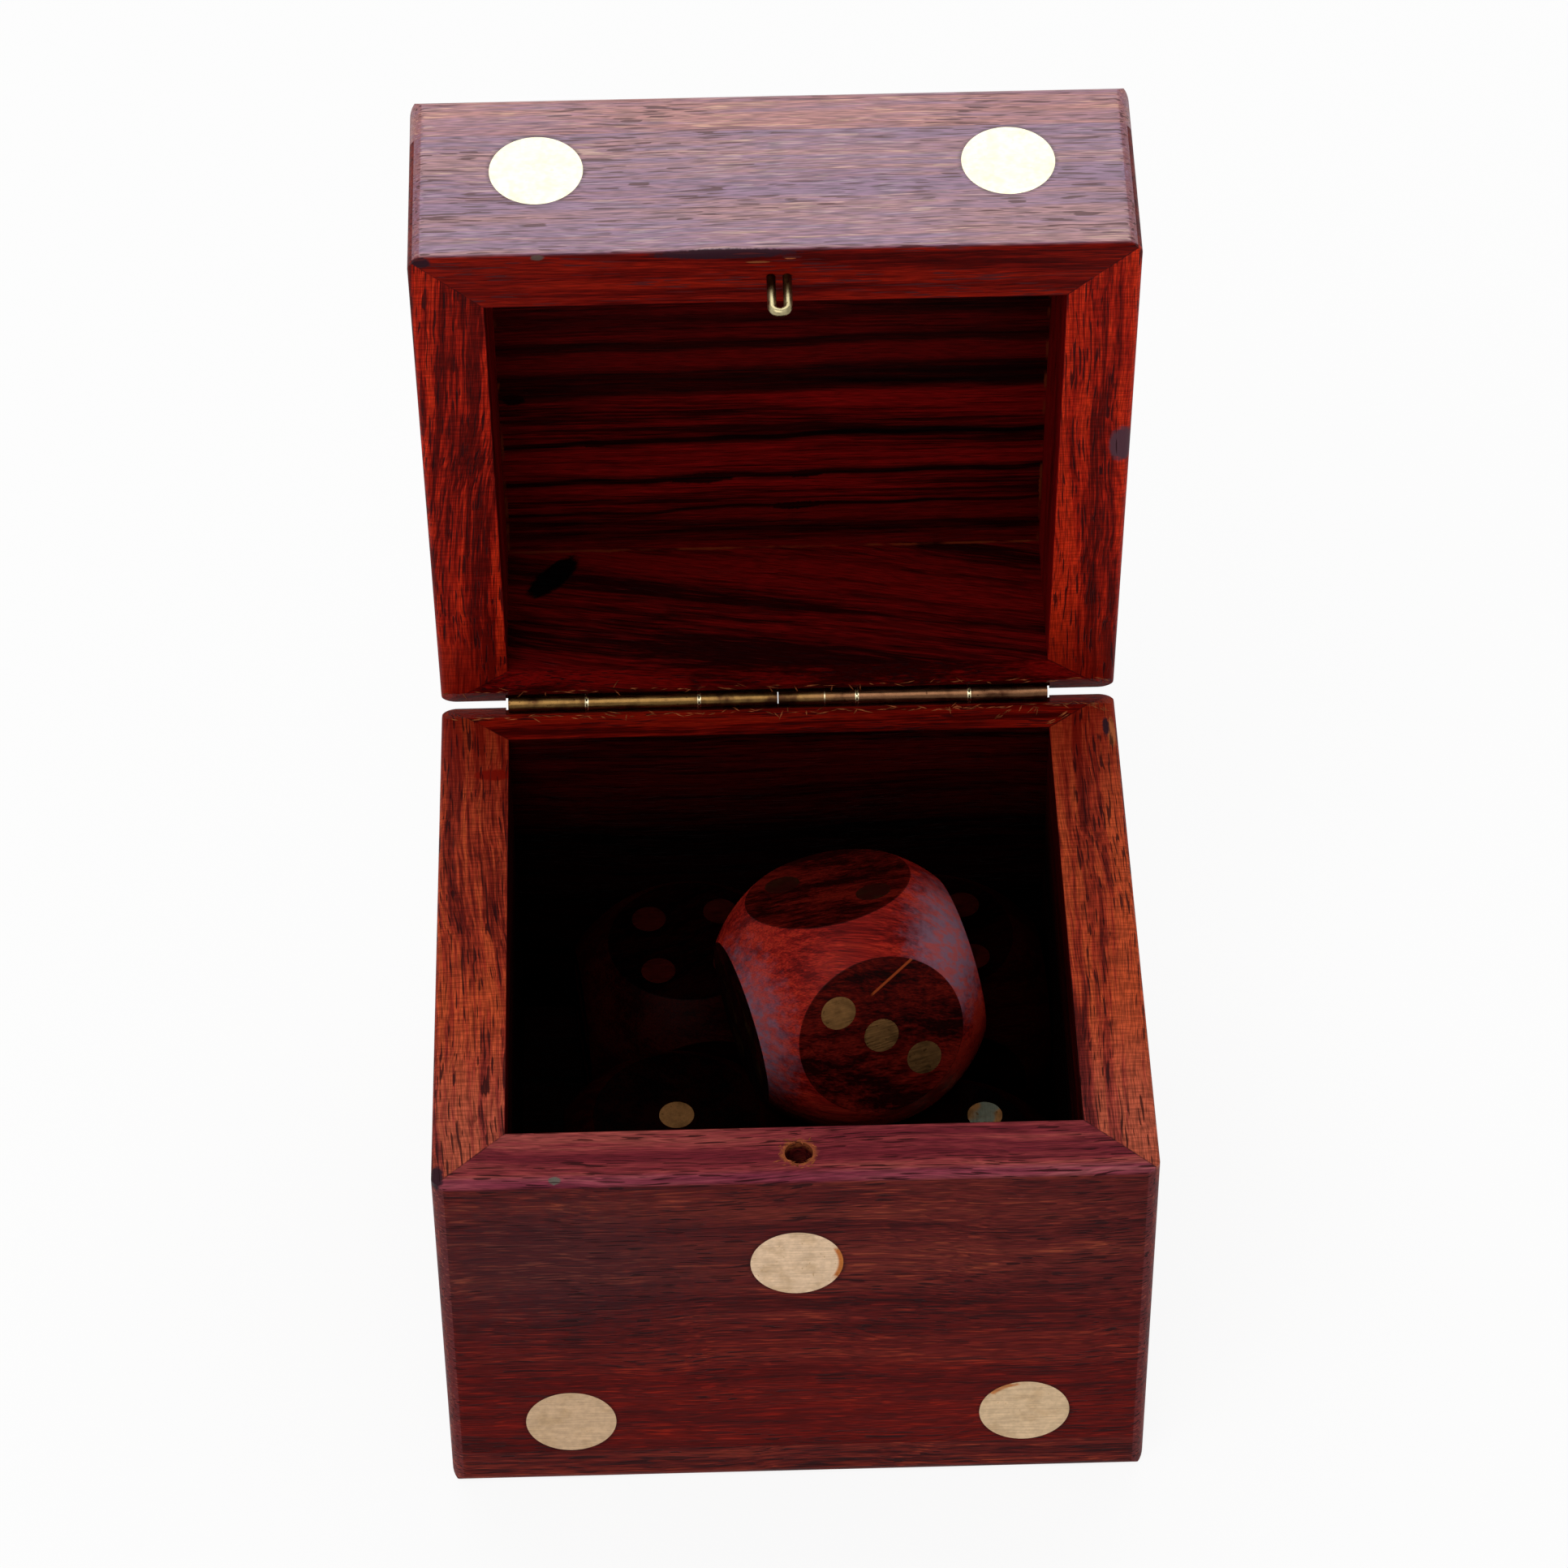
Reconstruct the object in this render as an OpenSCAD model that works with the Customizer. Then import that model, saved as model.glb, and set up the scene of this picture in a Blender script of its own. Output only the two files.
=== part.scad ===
// Hardwood dice box with a hinged lid, shaped like a big die, with five dice inside.
// X runs to the right, Y to the back, Z up. The origin is the middle of the base.
// Lid pieces are drawn as if shut and then swung open about the hinge axis.

/* [Box] */
// Width of the box, left to right
box_w = 63.5; // [57:0.5:90]
// Depth of the box, front to back
box_d = 60.5; // [54:0.5:90]
// Height of the body, from the table to its rim
body_h = 41.3; // [38:0.1:60]
// Height of the lid, from its rim to its top
lid_h = 19.8; // [16:0.1:30]
// Gap left between the two rims when the lid is shut
rim_gap = 0.3; // [0.2:0.05:0.6]
// Angle the lid stands open at, 0 is shut
lid_open = 83.3; // [0:0.1:97]

/* [Boards] */
// Thickness of the left and right walls
side_wall = 6.4; // [5:0.1:7]
// Thickness of the front walls
front_wall = 6.1; // [5:0.1:7]
// Thickness of the back walls, planed down for the hinges
back_wall = 5.0; // [4.6:0.1:7]
// Thickness of the board under the body
bottom_panel = 4.5; // [3:0.1:6]
// Thickness of the board on top of the lid
top_panel = 4.9; // [3:0.1:6]
// Radius of the upright corner edges
corner_round = 1.5; // [0.8:0.1:2.5]
// Radius of the edges round the base and the top
edge_round = 1.2; // [0.6:0.1:2.5]
// Radius of the outer edge of each rim
rim_round = 0.5; // [0.2:0.1:0.8]
// How far the bevel at the hinges reaches in from the back
bevel_w = 1.95; // [1.6:0.05:2.6]
// How deep that bevel is at the back face
bevel_d = 0.6; // [0.4:0.05:1]

/* [Brass inlay] */
// Diameter of the discs let into the box
inlay_d = 8.2; // [5:0.1:10]
// Thickness of those discs
inlay_t = 1.6; // [1:0.1:2.5]
// Distance of the outer discs from the upright corners
inlay_inset = 11.15; // [7:0.05:14]
// Height of the lowest discs above the table
low_inlay_h = 8.7; // [7:0.1:14]
// Drop from the rim of the body to its middle discs
mid_inlay_drop = 11.2; // [7:0.1:14]
// Height of the discs on the lid above its rim
lid_inlay_h = 10.5; // [6:0.1:13]

/* [Hinges] */
// Length of each hinge
hinge_len = 25.4; // [20:0.1:28]
// Space between the two hinges
hinge_space = 0.1; // [0.1:0.1:3]
// Radius of the rolled knuckles
knuckle_r = 0.85; // [0.8:0.05:1]
// Length of the middle knuckle
middle_knuckle_len = 10.6; // [6:0.1:14]
// Gap between neighbouring knuckles
knuckle_gap = 0.15; // [0.1:0.05:0.3]
// Thickness of the hinge leaves
leaf_t = 0.5; // [0.4:0.05:0.6]
// Reach of each leaf from the hinge axis
leaf_reach = 7; // [6:0.1:8]
// Radius of the hinge pins
pin_r = 0.35; // [0.3:0.05:0.4]
// Distance of the nails from the ends of the leaves
nail_inset = 4; // [2:0.1:5]
// Radius of the nail shanks
nail_r = 0.45; // [0.3:0.05:0.6]
// Radius of the nail heads
nail_head_r = 1.15; // [0.9:0.05:1.4]
// Height of the domed nail heads
nail_head_h = 0.5; // [0.3:0.05:0.6]
// Depth that the nails go into the wood
nail_bite = 3.6; // [2:0.1:4]

/* [Catch] */
// Width of the wire loop
catch_w = 2.2; // [1.8:0.1:3]
// Thickness of the wire
wire_d = 0.8; // [0.5:0.05:0.8]
// How far the loop stands out of the lid's rim
catch_out = 4.6; // [3:0.1:6]
// Depth that the legs of the loop go into the lid
catch_bite = 6; // [3:0.1:8]
// Distance of the catch from the middle of the front
catch_shift = 0.3; // [-5:0.1:5]

/* [Dice] */
// Room left over beside two dice, left to right
dice_room_w = 8.7; // [7:0.1:20]
// Room left over beside two dice, front to back
dice_room_d = 7.4; // [6:0.1:20]
// Diameter of the flat round faces, as a share of the die
flat_share = 0.724; // [0.68:0.002:0.76]
// Diameter of the brass spots, as a share of the die
spot_share = 0.1524; // [0.1:0.0004:0.156]
// Distance from the middle of a face to its outer spots, as a share of the die
step_share = 0.162; // [0.158:0.001:0.17]
// Thickness of the brass spots
spot_t = 0.8; // [0.5:0.1:1.5]
// Turn of the die at the back left
back_left_turn = 7; // [0:0.5:8]
// Turn of the die at the back right
back_right_turn = 5.6; // [0:0.1:7]
// Tilt of the die on top, towards the back
top_die_tilt = 22; // [20:0.5:23]
// Lean of the die on top, towards the left
top_die_lean = 4.7; // [4:0.1:6]
// Turn of the die on top
top_die_turn = 16.9; // [15:0.1:18]

/* [Clearances] */
// Running clearance between a pin and the knuckle that turns on it
pin_play = 0.03; // [0.01:0.01:0.1]
// Clearance round a pin, nail, wire or disc that is held fast
held_play = 0.01; // [0.01:0.01:0.03]
// Clearance between the knuckles and the groove in the wood
groove_play = 0.25; // [0.2:0.05:0.4]
// Clearance between the wire loop and its hole
catch_play = 0.15; // [0.15:0.05:0.4]
// Room left below the wire loop in its hole
catch_room = 1.7; // [0.3:0.1:4]
// Clearance between a die and what it stands beside
die_play = 0.15; // [0.1:0.05:0.2]

/* [Hidden] */
$fn = 64;
// Cutting tools reach this far past what they cut
past = 1;

rosewood = [0.42, 0.13, 0.09];
dark_rosewood = [0.33, 0.09, 0.07];
pale_brass = [0.86, 0.78, 0.58];
brass = [0.72, 0.56, 0.28];
old_brass = [0.62, 0.47, 0.2];

lid_z = body_h + rim_gap;
total_h = lid_z + lid_h;

// The leaves lie on the back faces, flush with the outside of the knuckles
axis_y = box_d / 2 - (knuckle_r - leaf_t);
axis_z = body_h + rim_gap / 2;
hinge_shift = (hinge_len + hinge_space) / 2;
leaf_start = knuckle_r + knuckle_gap;
// Ends of the middle knuckle, and starts of the outer ones, from the middle of the hinge
middle_end = (middle_knuckle_len - knuckle_gap) / 2;
outer_start = (middle_knuckle_len + knuckle_gap) / 2;
nail_drop = (leaf_start + leaf_reach) / 2;
nail_xs = [for (side = [-1, 1]) side * (hinge_len / 2 - nail_inset)];

catch_y = -box_d / 2 + front_wall / 2;
catch_hole_r = catch_w / 2 + catch_play;
catch_hole_t = catch_out - rim_gap + catch_room;

inlay_x = box_w / 2 - inlay_inset;
inlay_y = box_d / 2 - inlay_inset;
mid_inlay_z = body_h - mid_inlay_drop;
lid_inlay_z = lid_z + lid_inlay_h;

inner_left = -box_w / 2 + side_wall;
inner_right = box_w / 2 - side_wall;
inner_front = -box_d / 2 + front_wall;
inner_back = box_d / 2 - back_wall;

// Four dice lie on the bottom, two by two, as large as the hollow takes
die_size = min(inner_right - inner_left - dice_room_w, inner_back - inner_front - dice_room_d) / 2;
die_half = die_size / 2;
die_flat_r = flat_share * die_half;
die_ball_r = sqrt(die_half * die_half + die_flat_r * die_flat_r);
spot_r = spot_share * die_half;
spot_step = step_share * die_size;
die_z = bottom_panel + die_half;
// Half the width of a die that is turned a little
function turned_half(turn) = die_half * cos(turn) + die_flat_r * sin(turn);
// The dice are pushed together into the back right corner
back_right_die = [
  inner_right - turned_half(back_right_turn) - die_play,
  inner_back - turned_half(back_right_turn) - die_play, die_z
];
front_right_die = [inner_right - die_half - 3 * die_play, back_right_die[1] - 1.262 * die_size, die_z];
back_left_die = [
  back_right_die[0] - turned_half(back_right_turn) - turned_half(back_left_turn) - 2.5 * die_play,
  inner_back - turned_half(back_left_turn) - die_play, die_z
];
front_left_die = [
  back_left_die[0] - 0.071 * die_size,
  back_left_die[1] - turned_half(back_left_turn) - die_play - die_half, die_z
];
// The fifth die leans on the one at the back right and sinks between the others
top_die = back_right_die + [-0.397, -0.73, 0.926] * die_size;

// Each face of a die: the turn that brings it to the front of the drawing, and its spots
DIE_FACES = [
  [[90, 0, 90], 1], [[0, 0, 0], 2], [[90, 0, 0], 3],
  [[90, 0, 180], 4], [[180, 0, 0], 5], [[90, 0, -90], 6]
];
function centre_spots(count) = count % 2 == 1 ? [[0, 0]] : [];
function first_diagonal(count) = count > 1 ? [[-1, 1], [1, -1]] : [];
function second_diagonal(count) = count > 3 ? [[-1, -1], [1, 1]] : [];
function middle_spots(count) = count == 6 ? [[-1, 0], [1, 0]] : [];
function spots(count) = concat(
  centre_spots(count), first_diagonal(count), second_diagonal(count), middle_spots(count)
);

// Where the discs go: across the face and up, or across and back on the top
FRONT_LOW = [[0, mid_inlay_z], [-inlay_x, low_inlay_h], [inlay_x, low_inlay_h]];
FRONT_HIGH = [[-inlay_x, lid_inlay_z], [inlay_x, lid_inlay_z]];
BACK_LOW = [[-inlay_x, low_inlay_h]];
BACK_HIGH = [[inlay_x, lid_inlay_z]];
LEFT_LOW = [[inlay_y, low_inlay_h], [0, mid_inlay_z]];
LEFT_HIGH = [[-inlay_y, lid_inlay_z]];
RIGHT_LOW = [[-inlay_y, low_inlay_h], [inlay_y, low_inlay_h]];
RIGHT_HIGH = [[-inlay_y, lid_inlay_z], [inlay_y, lid_inlay_z]];
TOP_SIX = [for (side = [-1, 1]) for (row = [-1, 0, 1]) [side * inlay_x, row * inlay_y]];

// Outline helpers

// What is taken off a square corner to leave a round one
module corner_waste(r) difference() {
  translate([-past, -past]) square(r + past);
  translate([r, r]) circle(r);
}

module rounded_outline(left, right, low, high, r_low, r_high) difference() {
  translate([left, low]) square([right - left, high - low]);
  translate([left, low]) corner_waste(r_low);
  translate([right, low]) rotate(90) corner_waste(r_low);
  translate([right, high]) rotate(180) corner_waste(r_high);
  translate([left, high]) rotate(-90) corner_waste(r_high);
}

// The bevel along the back of a rim, for a rim that faces up
module rim_bevel(y, z) {
  past_d = bevel_d * (bevel_w + past) / bevel_w;
  polygon([[y - bevel_w, z], [y + past, z - past_d], [y + past, z + past], [y - bevel_w, z + past]]);
}

module seen_from_above() linear_extrude(total_h + past)
  rounded_outline(-box_w / 2, box_w / 2, -box_d / 2, box_d / 2, corner_round, corner_round);

module seen_from_front(low, high, r_low, r_high)
  rotate([90, 0, 0])
  translate([0, 0, -box_d / 2 - past])
  linear_extrude(box_d + 2 * past)
  rounded_outline(-box_w / 2, box_w / 2, low, high, r_low, r_high);

module seen_from_side() rotate([90, 0, 90])
  translate([0, 0, -box_w / 2 - past])
  linear_extrude(box_w + 2 * past)
  children();

// The groove that both rims have for the knuckles
module knuckle_groove() translate([0, axis_y, axis_z])
  rotate([0, 90, 0])
  cylinder(r = knuckle_r + groove_play, h = 2 * hinge_len + hinge_space + 2 * groove_play, center = true);

module body_block() difference() {
  intersection() {
    seen_from_above();
    seen_from_front(0, body_h, edge_round, rim_round);
    seen_from_side() difference() {
      rounded_outline(-box_d / 2, box_d / 2, 0, body_h, edge_round, rim_round);
      rim_bevel(box_d / 2, body_h);
    }
  }
  knuckle_groove();
}

module lid_block() difference() {
  intersection() {
    seen_from_above();
    seen_from_front(lid_z, total_h, rim_round, edge_round);
    seen_from_side() difference() {
      rounded_outline(-box_d / 2, box_d / 2, lid_z, total_h, rim_round, edge_round);
      translate([0, 2 * lid_z]) mirror([0, 1]) rim_bevel(box_d / 2, lid_z);
    }
  }
  knuckle_groove();
}

// Corners of the frame of walls, as front or back and left or right signs
function outer_corner(fb, lr) = [lr * box_w / 2, fb * box_d / 2];
function inner_corner(fb, lr) = [lr > 0 ? inner_right : inner_left, fb > 0 ? inner_back : inner_front];
function past_corner(fb, lr) = 1.3 * outer_corner(fb, lr) - 0.3 * inner_corner(fb, lr);

// The ground that one mitred wall covers, between two corners
module wall_ground(a, b) polygon([
  past_corner(a[0], a[1]), past_corner(b[0], b[1]), inner_corner(b[0], b[1]), inner_corner(a[0], a[1])
]);

module between(low, high) translate([0, 0, low]) linear_extrude(high - low) children();

FRONT_LEFT = [-1, -1];
FRONT_RIGHT = [-1, 1];
BACK_LEFT = [1, -1];
BACK_RIGHT = [1, 1];

// Swings a piece that is drawn shut to where it is at rest
module lid_swing() translate([0, axis_y, axis_z])
  rotate([-lid_open, 0, 0])
  translate([0, -axis_y, -axis_z])
  children();

// Places on the faces, with the outside of the face at local Z = 0
module at_front(spot) translate([spot[0], -box_d / 2, spot[1]]) rotate([90, 0, 0]) children();
module at_back(spot) translate([spot[0], box_d / 2, spot[1]]) rotate([-90, 0, 0]) children();
module at_left(spot) translate([-box_w / 2, spot[0], spot[1]]) rotate([0, -90, 0]) children();
module at_right(spot) translate([box_w / 2, spot[0], spot[1]]) rotate([0, 90, 0]) children();
module at_top(spot) translate([spot[0], spot[1], total_h]) children();

module disc() color(pale_brass) translate([0, 0, -inlay_t]) cylinder(d = inlay_d, h = inlay_t);
module disc_pocket() translate([0, 0, -inlay_t]) cylinder(r = inlay_d / 2 + held_play, h = inlay_t + past);

// Walls and panels

module body_wall(a, b) color(rosewood) difference() {
  intersection() {
    body_block();
    between(bottom_panel, body_h + past) wall_ground(a, b);
  }
  children();
}

module body_front_wall() body_wall(FRONT_LEFT, FRONT_RIGHT) {
  for (spot = FRONT_LOW) at_front(spot) disc_pocket();
  translate([catch_shift, catch_y, body_h - catch_hole_t])
    cylinder(r = catch_hole_r, h = catch_hole_t + past);
}
module body_back_wall() body_wall(BACK_LEFT, BACK_RIGHT) {
  for (spot = BACK_LOW) at_back(spot) disc_pocket();
  for (side = [-1, 1]) hinge_place(side) nail_places(-1) nail_hole();
}
module body_left_wall() body_wall(BACK_LEFT, FRONT_LEFT)
  for (spot = LEFT_LOW) at_left(spot) disc_pocket();
module body_right_wall() body_wall(FRONT_RIGHT, BACK_RIGHT)
  for (spot = RIGHT_LOW) at_right(spot) disc_pocket();

module whole_ground() square([box_w + 2 * past, box_d + 2 * past], center = true);

module body_bottom_panel() color(dark_rosewood) intersection() {
  body_block();
  between(-past, bottom_panel) whole_ground();
}

module lid_wall(a, b) color(rosewood) lid_swing() difference() {
  intersection() {
    lid_block();
    between(lid_z - past, total_h - top_panel) wall_ground(a, b);
  }
  children();
}

module lid_front_wall() lid_wall(FRONT_LEFT, FRONT_RIGHT) {
  for (spot = FRONT_HIGH) at_front(spot) disc_pocket();
  catch_legs(wire_d / 2 + held_play, catch_bite, past);
}
module lid_back_wall() lid_wall(BACK_LEFT, BACK_RIGHT) {
  for (spot = BACK_HIGH) at_back(spot) disc_pocket();
  for (side = [-1, 1]) hinge_place(side) nail_places(1) nail_hole();
}
module lid_left_wall() lid_wall(BACK_LEFT, FRONT_LEFT)
  for (spot = LEFT_HIGH) at_left(spot) disc_pocket();
module lid_right_wall() lid_wall(FRONT_RIGHT, BACK_RIGHT)
  for (spot = RIGHT_HIGH) at_right(spot) disc_pocket();

module lid_top_panel() color(rosewood) lid_swing() difference() {
  intersection() {
    lid_block();
    between(total_h - top_panel, total_h + past) whole_ground();
  }
  for (spot = TOP_SIX) at_top(spot) disc_pocket();
}

// Brass discs, one group for each face of the body and of the lid

module body_front_discs() for (spot = FRONT_LOW) at_front(spot) disc();
module body_back_disc() for (spot = BACK_LOW) at_back(spot) disc();
module body_left_discs() for (spot = LEFT_LOW) at_left(spot) disc();
module body_right_discs() for (spot = RIGHT_LOW) at_right(spot) disc();
module lid_front_discs() lid_swing() for (spot = FRONT_HIGH) at_front(spot) disc();
module lid_back_disc() lid_swing() for (spot = BACK_HIGH) at_back(spot) disc();
module lid_left_disc() lid_swing() for (spot = LEFT_HIGH) at_left(spot) disc();
module lid_right_discs() lid_swing() for (spot = RIGHT_HIGH) at_right(spot) disc();
module lid_top_discs() lid_swing() for (spot = TOP_SIX) at_top(spot) disc();

// Hinges, drawn round their own axis with the body below and the lid above

module hinge_place(side) translate([side * hinge_shift, axis_y, axis_z]) children();
module along_axis(from, to, r) translate([from, 0, 0]) rotate([0, 90, 0]) cylinder(r = r, h = to - from);
// A piece of leaf between two places along the hinge, from one height to another
module leaf_strip(from, to, low, high)
  translate([from, knuckle_r - leaf_t, low]) cube([to - from, leaf_t, high - low]);

module nail_places(up) for (x = nail_xs)
  translate([x, knuckle_r, up * nail_drop]) rotate([-90, 0, 0]) children();
module nail_hole() translate([0, 0, -leaf_t - nail_bite])
  cylinder(r = nail_r + held_play, h = leaf_t + nail_bite + past);

module body_leaf() color(brass) difference() {
  union() {
    leaf_strip(-hinge_len / 2, hinge_len / 2, -leaf_reach, -leaf_start);
    leaf_strip(-hinge_len / 2, -outer_start, -leaf_start, 0);
    leaf_strip(outer_start, hinge_len / 2, -leaf_start, 0);
    along_axis(-hinge_len / 2, -outer_start, knuckle_r);
    along_axis(outer_start, hinge_len / 2, knuckle_r);
  }
  along_axis(-hinge_len, hinge_len, pin_r + held_play);
  nail_places(-1) nail_hole();
}

module lid_leaf() color(brass) difference() {
  union() {
    leaf_strip(-hinge_len / 2, hinge_len / 2, leaf_start, leaf_reach);
    leaf_strip(-middle_end, middle_end, 0, leaf_start);
    along_axis(-middle_end, middle_end, knuckle_r);
  }
  along_axis(-hinge_len, hinge_len, pin_r + pin_play);
  nail_places(1) nail_hole();
}

module hinge_pin() color(old_brass) along_axis(-hinge_len / 2, hinge_len / 2, pin_r);

// A nail with a domed head, driven in along its own -Z
module nail() color(old_brass) {
  dome_r = (nail_head_r * nail_head_r + nail_head_h * nail_head_h) / (2 * nail_head_h);
  intersection() {
    translate([0, 0, nail_head_h - dome_r]) sphere(dome_r);
    cylinder(r = nail_head_r + past, h = nail_head_h + past);
  }
  translate([0, 0, -leaf_t - nail_bite]) cylinder(r = nail_r, h = leaf_t + nail_bite);
}

module hinge_left_body_leaf() hinge_place(-1) body_leaf();
module hinge_left_lid_leaf() lid_swing() hinge_place(-1) lid_leaf();
module hinge_left_pin() hinge_place(-1) hinge_pin();
module hinge_right_body_leaf() hinge_place(1) body_leaf();
module hinge_right_lid_leaf() lid_swing() hinge_place(1) lid_leaf();
module hinge_right_pin() hinge_place(1) hinge_pin();
module body_hinge_nails() for (side = [-1, 1]) hinge_place(side) nail_places(-1) nail();
module lid_hinge_nails() lid_swing() for (side = [-1, 1]) hinge_place(side) nail_places(1) nail();

// Catch: a bent wire in the rim of the lid that springs into a hole in the rim of the body

module catch_legs(r, up, down) for (side = [-1, 1])
  translate([catch_shift + side * (catch_w - wire_d) / 2, catch_y, lid_z - down])
  cylinder(r = r, h = up + down);

module catch_loop() color(brass) lid_swing() union() {
  catch_legs(wire_d / 2, catch_bite, catch_out - catch_w / 2);
  translate([catch_shift, catch_y, lid_z - catch_out + catch_w / 2])
    rotate([-90, 0, 0])
    rotate_extrude(angle = 180)
    translate([(catch_w - wire_d) / 2, 0]) circle(d = wire_d);
}

// Dice

module die_block() color(dark_rosewood) difference() {
  intersection() {
    cube(die_size, center = true);
    sphere(die_ball_r);
  }
  die_spots(held_play, past);
}

// The spots themselves, or their pockets when there is play and a way out
module die_spots(play, out) for (face = DIE_FACES) rotate(face[0])
  for (place = spots(face[1]))
    translate([place[0] * spot_step, place[1] * spot_step, die_half - spot_t])
    cylinder(r = spot_r + play, h = spot_t + out);

module brass_spots() color(brass) die_spots(0, 0);

// Each die: the turn of the whole die, after the turn that brings a face up
module front_left_place() translate(front_left_die) rotate([0, -90, 0]) children();
module back_left_place() translate(back_left_die) rotate(back_left_turn) rotate([90, 0, 0]) children();
module back_right_place() translate(back_right_die) rotate(back_right_turn) rotate([90, 0, 0]) children();
module front_right_place() translate(front_right_die) rotate([-90, 0, 90]) children();
module top_place() translate(top_die) rotate([-top_die_tilt, -top_die_lean, top_die_turn]) children();

module die_front_left() front_left_place() die_block();
module die_front_left_spots() front_left_place() brass_spots();
module die_back_left() back_left_place() die_block();
module die_back_left_spots() back_left_place() brass_spots();
module die_back_right() back_right_place() die_block();
module die_back_right_spots() back_right_place() brass_spots();
module die_front_right() front_right_place() die_block();
module die_front_right_spots() front_right_place() brass_spots();
module die_top() top_place() die_block();
module die_top_spots() top_place() brass_spots();

body_front_wall();
body_back_wall();
body_left_wall();
body_right_wall();
body_bottom_panel();
lid_front_wall();
lid_back_wall();
lid_left_wall();
lid_right_wall();
lid_top_panel();
body_front_discs();
body_back_disc();
body_left_discs();
body_right_discs();
lid_front_discs();
lid_back_disc();
lid_left_disc();
lid_right_discs();
lid_top_discs();
hinge_left_body_leaf();
hinge_left_lid_leaf();
hinge_left_pin();
hinge_right_body_leaf();
hinge_right_lid_leaf();
hinge_right_pin();
body_hinge_nails();
lid_hinge_nails();
catch_loop();
die_front_left();
die_front_left_spots();
die_back_left();
die_back_left_spots();
die_back_right();
die_back_right_spots();
die_front_right();
die_front_right_spots();
die_top();
die_top_spots();
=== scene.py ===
"""Looks of a hardwood dice box with a hinged lid, brass discs and five wooden dice."""

import math
import random

import bmesh
import bpy
from bpy.props import FloatProperty, FloatVectorProperty, PointerProperty
from mathutils import Euler, Matrix, Vector


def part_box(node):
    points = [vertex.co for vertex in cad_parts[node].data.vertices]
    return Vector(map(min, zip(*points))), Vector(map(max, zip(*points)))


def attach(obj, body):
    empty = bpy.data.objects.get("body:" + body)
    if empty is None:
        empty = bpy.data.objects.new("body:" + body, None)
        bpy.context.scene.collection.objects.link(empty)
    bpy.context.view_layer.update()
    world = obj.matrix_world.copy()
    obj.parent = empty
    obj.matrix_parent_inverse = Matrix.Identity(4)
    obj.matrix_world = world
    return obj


bl_info = {
    "name": "Dice box with hinged lid",
    "version": (1, 0, 0),
    "blender": (4, 5, 0),
    "location": "3D View > Sidebar > Dice Box",
    "description": "Gives a hardwood dice box its wood, brass, wear and studio",
    "category": "Object",
}

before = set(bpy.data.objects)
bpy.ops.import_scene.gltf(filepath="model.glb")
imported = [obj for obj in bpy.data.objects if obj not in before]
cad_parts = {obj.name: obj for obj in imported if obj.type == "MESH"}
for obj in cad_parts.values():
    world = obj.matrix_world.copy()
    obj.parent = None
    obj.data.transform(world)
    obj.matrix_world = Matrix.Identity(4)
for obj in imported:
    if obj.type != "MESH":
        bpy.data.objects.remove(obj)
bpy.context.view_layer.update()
MM = 0.001

# Places on the box in millimetres, with the lid shut
BODY_RIM = 41.3
LID_RIM = 41.6
LID_PANEL = 56.5
BODY_PANEL = 4.5
INNER_HALF = 25.35
INNER_FRONT = -24.15
INNER_BACK = 25.25
OUTER_HALF = 31.75
OUTER_FRONT = -30.25
BEVEL_TOP = 28.3
HOLE = (0.3, -27.2, BODY_RIM)
HOLE_RADIUS = 1.25
DISC_RADIUS = 4.1
FRONT_DISCS = ((0.0, 30.1), (-20.6, 8.7), (20.6, 8.7), (-20.6, 52.1), (20.6, 52.1))
KNUCKLE_ENDS = (-18.05, -7.45, 7.45, 18.05)
DIE_HALF = 10.5

BODY_BOARDS = ("body_front_wall", "body_back_wall", "body_left_wall", "body_right_wall", "body_bottom_panel")
LID_BOARDS = ("lid_front_wall", "lid_back_wall", "lid_left_wall", "lid_right_wall", "lid_top_panel")
# Boards whose grain runs from front to back
SIDE_BOARDS = ("body_left_wall", "body_right_wall", "lid_left_wall", "lid_right_wall")
# How far the grain of some boards leans sideways and upwards, per length
LEANS = {
    "body_left_wall": (0.05, 0.0),
    "lid_left_wall": (0.07, 0.0),
    "lid_right_wall": (-0.03, 0.0),
    "lid_back_wall": (0.0, 0.17),
}
BODY_DISCS = ("body_front_discs", "body_back_disc", "body_left_discs", "body_right_discs")
LID_DISCS = ("lid_front_discs", "lid_back_disc", "lid_left_disc", "lid_right_discs", "lid_top_discs")
HINGE_PIECES = tuple(
    f"hinge_{side}_{part}" for side in ("left", "right") for part in ("body_leaf", "lid_leaf", "pin")
)
NAILS = ("body_hinge_nails", "lid_hinge_nails")
# Each die: the turns, in degrees, that take it from face two upwards to how it lies
DICE = {
    "die_front_left": ((0, -90, 0),),
    "die_back_left": ((90, 0, 0), (0, 0, 7)),
    "die_back_right": ((90, 0, 0), (0, 0, 5.6)),
    "die_front_right": ((-90, 0, 90),),
    "die_top": ((-22, -4.7, 16.9),),
}


def colour(name, default, about):
    """A colour that a user may change."""
    return FloatVectorProperty(
        name=name, description=about, default=default, size=3, min=0.0, max=1.0, subtype="COLOR"
    )


class DiceBoxSizes(bpy.types.PropertyGroup):
    """Sizes that the looks need, in metres as the frame has them."""

    lid_open: FloatProperty(
        name="Lid angle",
        description="Angle that the lid stands open at",
        default=math.radians(83.3),
        subtype="ANGLE",
    )
    axis_back: FloatProperty(
        name="Hinge axis back",
        description="Place of the hinge axis, to the back",
        default=0.0299,
        unit="LENGTH",
    )
    axis_up: FloatProperty(
        name="Hinge axis up", description="Height of the hinge axis", default=0.04145, unit="LENGTH"
    )
    floor_width: FloatProperty(
        name="Floor width", description="Width of the studio floor", default=6.0, unit="LENGTH"
    )


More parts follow.
